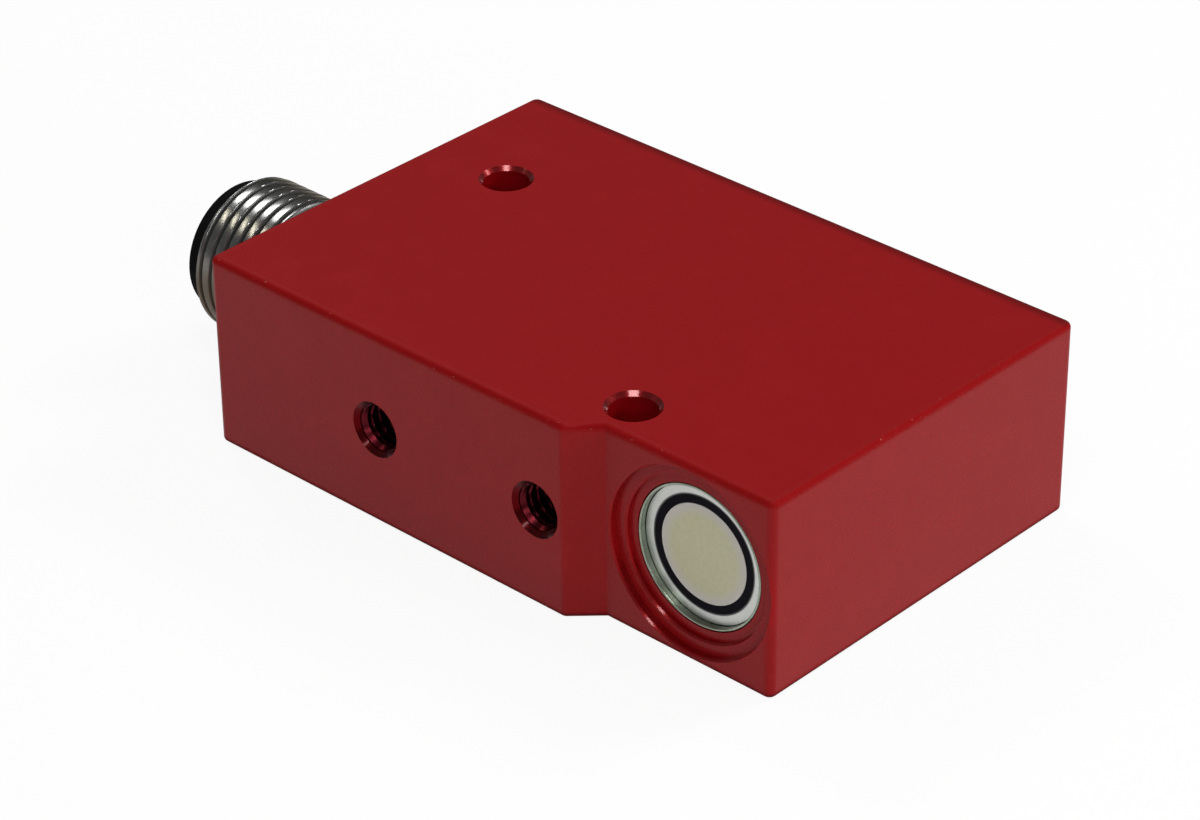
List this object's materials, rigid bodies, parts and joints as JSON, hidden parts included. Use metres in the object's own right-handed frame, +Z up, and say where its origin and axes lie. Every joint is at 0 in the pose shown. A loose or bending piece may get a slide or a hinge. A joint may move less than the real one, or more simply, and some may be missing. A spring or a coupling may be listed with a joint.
{
  "type": "ultrasonic sensor",
  "caption": "Block-shaped ultrasonic distance sensor with a threaded round plug at one end, a round sensing face in a set-back side, and holes for mounting screws.",
  "frame": {"origin": "under the middle of the whole box, on the plane of the underside", "axes": "+X from the plug to the transducer end, +Y from the transducer's side to the rear side, +Z up from the underside"},
  "size_m": [0.0598, 0.033, 0.015],
  "materials": {
    "block_red": "satin",
    "cover_red": "satin",
    "seal_black": "matte",
    "screw_steel": "satin",
    "plug_nickel": "satin",
    "insert_black": "matte",
    "contact_gold": "gloss",
    "wire_insulation": "matte",
    "lead_insulation": "matte",
    "sleeve_steel": "satin",
    "lock_brass": "satin",
    "face_ring_metal": "satin",
    "ring_rubber": "matte",
    "matching_cream": "matte",
    "piezo_ceramic": "matte",
    "foam_grey": "matte",
    "board_green": "gloss",
    "chip_black": "matte",
    "ferrite_grey": "matte",
    "can_metal": "satin",
    "component_tan": "matte"
  },
  "bodies": {
    "root": {"housing": "block_red", "bottom_cover": "cover_red", "cover_gasket": "seal_black", "cover_screws": "screw_steel", "connector_shell": "plug_nickel", "connector_insert": "insert_black", "contact_pins": "contact_gold", "connector_seal": "seal_black", "connector_wires": "wire_insulation", "transducer_sleeve": "sleeve_steel", "sleeve_seal": "seal_black", "lock_ring": "lock_brass", "face_ring": "face_ring_metal", "decoupling_ring": "ring_rubber", "matching_layer": "matching_cream", "piezo_disc": "piezo_ceramic", "damping_foam": "foam_grey", "terminal_board": "board_green", "transducer_leads": "lead_insulation", "circuit_board": "board_green", "board_screws": "screw_steel", "controller_chip": "chip_black", "amplifier_chip": "chip_black", "voltage_regulator": "chip_black", "drive_transformer": "ferrite_grey", "storage_capacitor": "can_metal", "small_components": "component_tan"}
  },
  "joints": []
}
